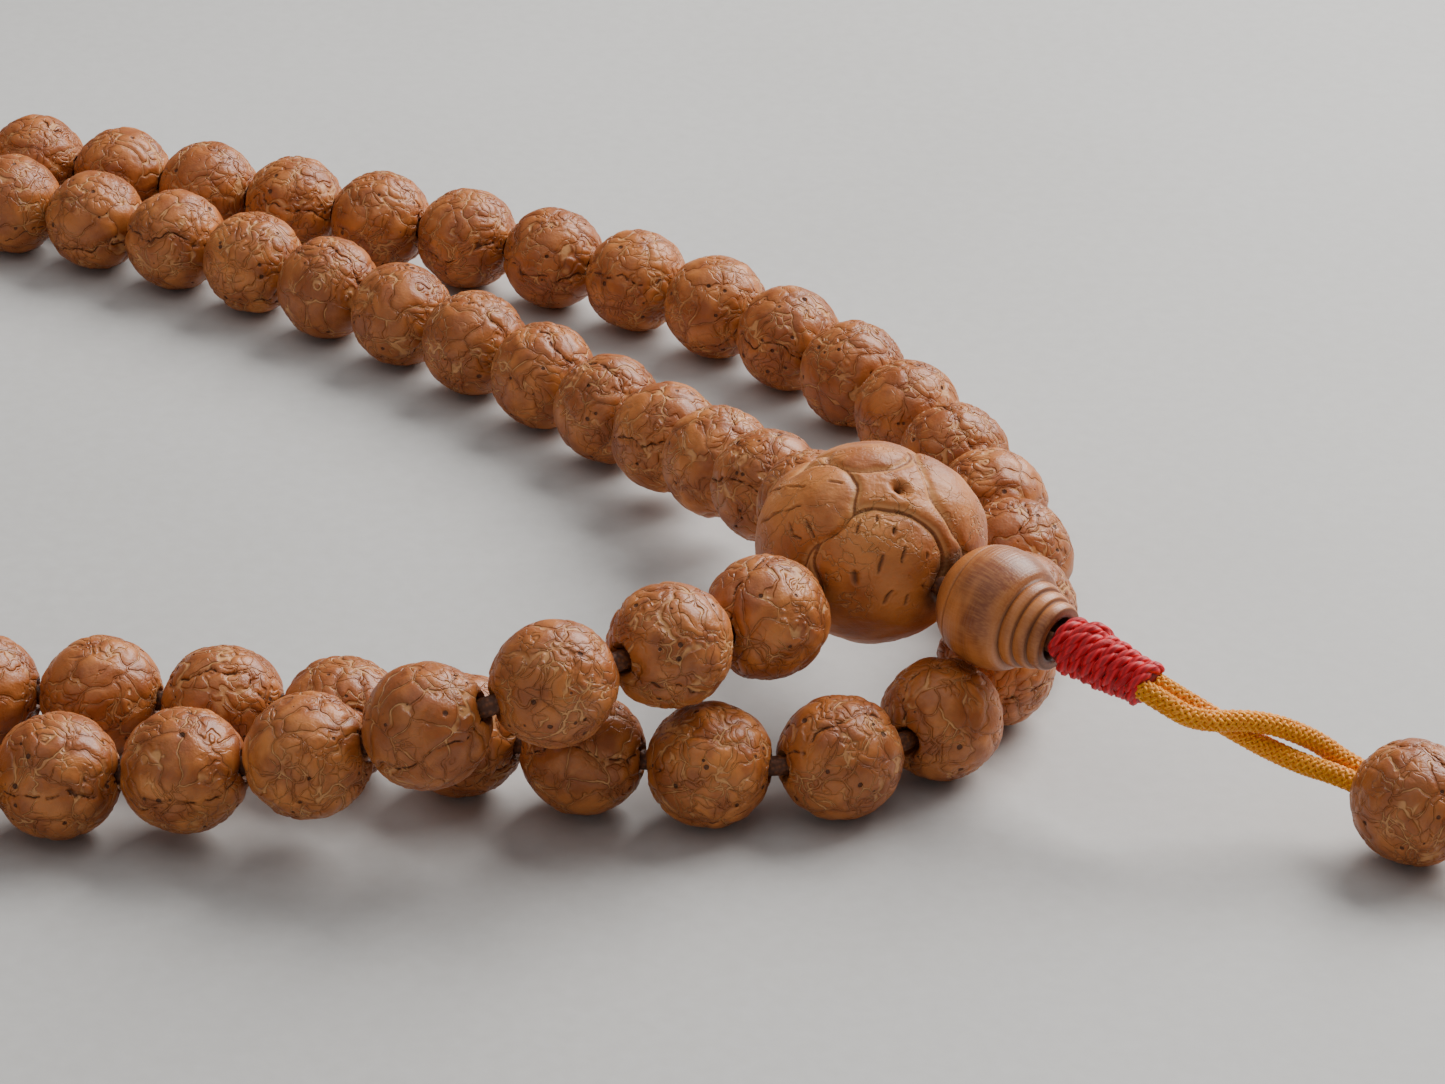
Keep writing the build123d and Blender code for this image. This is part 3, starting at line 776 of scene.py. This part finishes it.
def yarn_tree():
    """Yarns laid round a path, twisted one way or braided both ways, over a plain core."""
    n, given = shape_tree("laid yarns", [
        ("Yarns", "Int", 3), ("Lay Radius", "Float", 0.25 * MM),
        ("Yarn Radius", "Float", 0.27 * MM), ("Lead", "Float", 1.6 * MM),
        ("Weave", "Float", 0.0), ("Step", "Float", 0.1 * MM),
        ("Sides", "Int", 6), ("Material", "Material", None),
    ])
    path = n.add("GeometryNodeMeshToCurve", {"Mesh": given["Geometry"]}).outputs[0]
    path = n.add(
        "GeometryNodeResampleCurve", {"Curve": path, "Length": given["Step"]}, mode="LENGTH"
    ).outputs[0]
    many = n.add(
        "GeometryNodeDuplicateElements", {"Geometry": path, "Amount": given["Yarns"]},
        domain="SPLINE",
    )
    yarn = many.outputs["Duplicate Index"]
    braided = n.math("GREATER_THAN", given["Weave"], 0.0)
    back = n.times(n.math("MODULO", yarn, 2.0), braided)
    hand = n.math("SUBTRACT", 1.0, n.times(back, 2.0))
    ways = n.math("ADD", braided, 1.0)  # yarns run one way or both ways round
    place = n.math("FLOOR", n.math("DIVIDE", yarn, ways))
    each_way = n.math("DIVIDE", given["Yarns"], ways)
    length = n.add("GeometryNodeSplineParameter").outputs["Length"]
    travel = n.times(n.math("DIVIDE", length, given["Lead"]), math.tau)
    angle = n.total(
        n.times(n.math("DIVIDE", place, each_way), math.tau), n.times(hand, travel)
    )
    lift = n.times(n.math("COSINE", n.times(travel, each_way)), hand, given["Weave"])
    radius = n.math("ADD", given["Lay Radius"], lift)
    normal = n.add("GeometryNodeInputNormal").outputs[0]
    side = n.vector("CROSS_PRODUCT", n.add("GeometryNodeInputTangent").outputs[0], normal)
    offset = n.vector(
        "ADD",
        n.vector("SCALE", normal, scale=n.times(radius, n.math("COSINE", angle))),
        n.vector("SCALE", side, scale=n.times(radius, n.math("SINE", angle))),
    )
    laid = n.add(
        "GeometryNodeSetPosition", {"Geometry": many.outputs["Geometry"], "Offset": offset}
    ).outputs[0]

    def marked(curve, label, value):
        return n.add(
            "GeometryNodeStoreNamedAttribute", {"Geometry": curve, "Name": label, "Value": value},
            data_type="FLOAT", domain="POINT",
        ).outputs[0]

    def tube(curve, radius, sides):
        ring = n.add(
            "GeometryNodeCurvePrimitiveCircle", {"Resolution": sides, "Radius": radius}
        ).outputs[0]
        ring = marked(ring, "around", n.add("GeometryNodeSplineParameter").outputs["Factor"])
        return n.add(
            "GeometryNodeCurveToMesh", {"Curve": curve, "Profile Curve": ring, "Fill Caps": True}
        ).outputs[0]

    laid = marked(laid, "along", n.add("GeometryNodeSplineParameter").outputs["Length"])
    core = marked(path, "along", n.add("GeometryNodeSplineParameter").outputs["Length"])
    both = n.add("GeometryNodeJoinGeometry")
    n.tree.links.new(tube(laid, given["Yarn Radius"], given["Sides"]), both.inputs[0])
    core_radius = n.math("SUBTRACT", given["Lay Radius"], n.times(given["Weave"], 0.5))
    n.tree.links.new(tube(core, core_radius, 8), both.inputs[0])
    shown(n, both.outputs[0], given["Material"])
    return n.tree


def wound_thread():
    """Centreline of the thread round the neck, and one turn that crosses over the others."""
    across, up = neck_frame()
    start = guru_middle + NECK_WAY * WHIPPING_START

    def at(share, turns, lift=0.0):
        along = THREAD_RADIUS + share * (WHIPPING_LENGTH - 2 * THREAD_RADIUS)
        belly = 2.22 - 0.42 * share**1.6 + 0.06 * math.sin(turns * 1.9)
        radius = belly * MM - THREAD_RADIUS + lift
        angle = math.tau * turns
        tilt = 0.20 * MM * math.cos(angle - 0.9)
        way = across * math.cos(angle) + up * math.sin(angle)
        return start + NECK_WAY * (along + tilt * (1 - share) ** 0.3) + way * radius

    coil_steps, cross_steps = 420, 60
    coil = [at(i / coil_steps, THREAD_TURNS * i / coil_steps) for i in range(coil_steps + 1)]
    cross = []
    for i in range(cross_steps + 1):
        share = i / cross_steps
        # its two ends are tucked under the others
        lift = 0.62 * MM * math.sin(math.pi * share) ** 0.5 - 0.25 * MM
        cross.append(at(0.13 + 0.34 * share, 0.02 + 0.80 * share, lift))
    return coil, cross


# ---------------------------------------------------------------- tail
def spline_points(name, points, resolution):
    """Points along the smooth cord line that has these control points."""
    data = bpy.data.curves.new(name, "CURVE")
    data.dimensions = "3D"
    data.resolution_u = resolution
    spline = data.splines.new("NURBS")
    spline.points.add(len(points) - 1)
    for control, place in zip(spline.points, points):
        control.co = (*(c * MM for c in place), 1)
    spline.order_u = 3
    spline.use_endpoint_u = True
    line = bpy.data.objects.new(name, data)
    mesh = bpy.data.meshes.new_from_object(line)
    found = [Vector(v.co) for v in mesh.vertices]
    bpy.data.objects.remove(line)
    return found


BRAID = {
    "Yarns": 16, "Lay Radius": 0.62 * MM, "Yarn Radius": 0.165 * MM, "Lead": 4.6 * MM,
    "Weave": 0.07 * MM, "Step": 4.6 * MM / 48, "Sides": 5,
}


def knot_lines():
    """A barrel knot: the cord wrapped round itself, and two sealed ends lying on the table."""
    way = Vector((0.790155, -0.612907, 0))  # out along the tail, level
    up = Vector((0, 0, 1))
    side = up.cross(way)
    middle = Vector((140.9, -78.8, 2.9)) * MM
    turns, reach, radius = 2.6, 1.85 * MM, 1.72 * MM
    first_angle, steps = 0.6, 149
    wraps = []
    for i in range(steps + 1):
        share = i / steps
        angle = math.tau * turns * share + first_angle
        squeeze = 0.80 + 0.20 * math.sin(math.pi * share)
        along = reach * (2 * share - 1)
        around = side * math.cos(angle) + up * math.sin(angle)
        wraps.append(middle + way * along + around * (radius * squeeze))
    end_spread, end_start, end_reach = 22, 1.2 * MM, 8.6 * MM
    end_height, end_bow = 0.78 * MM, 0.35 * MM
    ends = []
    for spread in (-end_spread, end_spread):
        turn = math.radians(spread)
        out = way * math.cos(turn) + side * math.sin(turn)
        tip = middle + out * end_reach
        tip.z = end_height
        start = middle + out * end_start
        bow = (start + tip) / 2 + up * end_bow
        ends.append([
            start.lerp(bow, t / 20).lerp(bow.lerp(tip, t / 20), t / 20) for t in range(21)
        ])
    return wraps, ends


# ---------------------------------------------------------------- putting it together
def replace(piece, body, slot, *nodes):
    """A finished piece rides on its body and stands for its CAD nodes."""
    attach(piece, body)
    if nodes:
        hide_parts(*nodes)
    return piece


def all_seeds(tree, material):
    """Every strand seed, on the body that its CAD node belongs to."""
    for body, nodes in frame["record"]["behaviour"]["bodies"].items():
        for node in nodes:
            if not node.startswith("bead"):
                continue
            detail = NEAR_DETAIL if node.startswith("bead_") else FAR_DETAIL
            piece = seeds(
                node, tree, material, detail, SEED_RADIUS, SEED_HALF_LENGTH, SEED_MOUTH
            )
            replace(piece, body, "seed", node)


def neck(yarns, wood, red, red_shade):
    """Cap bead, and the thread whipping on its core, which is painted as red thread in shade."""
    cap = turned("cap_bead_turned", cap_outline(), CAP_START, wood)
    replace(cap, "cap_bead", "turned_wood", "cap_bead")
    # painted shade: the core is coloured as the red thread in shade
    core = turned("whipping_core", core_outline(), WHIPPING_START, red_shade, 48)
    replace(core, "strand", "red_thread")
    coil, cross = wound_thread()
    sizes = {
        "Yarns": 3, "Lay Radius": 0.25 * MM, "Yarn Radius": 0.35 * MM, "Lead": 3.4 * MM,
        "Step": 0.10 * MM, "Sides": 7, "Material": red,
    }
    winding = made("whipping_thread", polyline("coil", coil), yarns, **sizes)
    replace(winding, "strand", "red_thread", "thread_whipping")
    over = made("whipping_crossing_turn", polyline("cross", cross), yarns, **sizes)
    replace(over, "strand", "red_thread")


def tail(yarns, seed_shape, seed, gold):
    """The two braided cords, the seed on them and the knot at their end."""
    wraps, ends = knot_lines()
    knot = made("end_knot_wraps", polyline("wraps", wraps), yarns, **BRAID, Material=gold)
    replace(knot, "tail", "gold_cord", "end_knot")
    tips = [
        made(f"end_knot_tip_{i + 1}", polyline("tip", end), yarns, **BRAID, Material=gold)
        for i, end in enumerate(ends)
    ]
    for tip in tips:
        replace(tip, "tail", "gold_cord")
    bead = seeds(
        "tail_bead", seed_shape, seed, NEAR_DETAIL, TAIL_SEED_RADIUS, TAIL_SEED_HALF_LENGTH,
        TAIL_SEED_MOUTH,
    )
    replace(bead, "tail_bead", "seed", "tail_bead")
    for name, (length, points) in TAIL_CORDS.items():
        line = spline_points(name + "_line", points, 40)
        cord = made(name + "_braid", polyline(name, line), yarns, **BRAID, Material=gold)
        replace(cord, "tail", "gold_cord", name)


def floor():
    """The table that everything lies on. It is not part of the object."""
    mesh = bpy.data.meshes.new("floor")
    reach = 3.0
    corners = [(-reach, -reach, 0), (reach, -reach, 0), (reach, reach, 0), (-reach, reach, 0)]
    mesh.from_pydata(corners, [], [(0, 1, 2, 3)])
    mesh.materials.append(floor_material())
    board = bpy.data.objects.new("floor", mesh)
    bpy.context.scene.collection.objects.link(board)


camera()
daylight()
floor()
seeds_tree = seed_tree()
yarns_tree = yarn_tree()
dried_seed = seed_material()
gold_yarn = yarn_material("gold yarn", GOLD_LIGHT, GOLD_DEEP, sheen=0.08, fibres=3, twist=9000.0)
red_yarn = yarn_material("red thread", RED_LIGHT, RED_DEEP, sheen=0.05, fibres=4, twist=7000.0)
red_thread_in_shade = yarn_material(
    "red thread in painted shade", RED_SHADE, RED_SHADE_DEEP, sheen=0.03, fibres=4, twist=7000.0
)
all_seeds(seeds_tree, dried_seed)
replace(guru_bead(guru_material()), "strand", "guru_seed", "guru_bead")
neck(yarns_tree, turned_wood(), red_yarn, red_thread_in_shade)
tail(yarns_tree, seeds_tree, dried_seed, gold_yarn)
string = frame["nodes"]["string_loop"]
string.data.materials.clear()
# painted shade: the string between the beads is coloured as cord in shade
string.data.materials.append(plain_cord_material(SHADED_CORD, SHADED_CORD_DEEP))
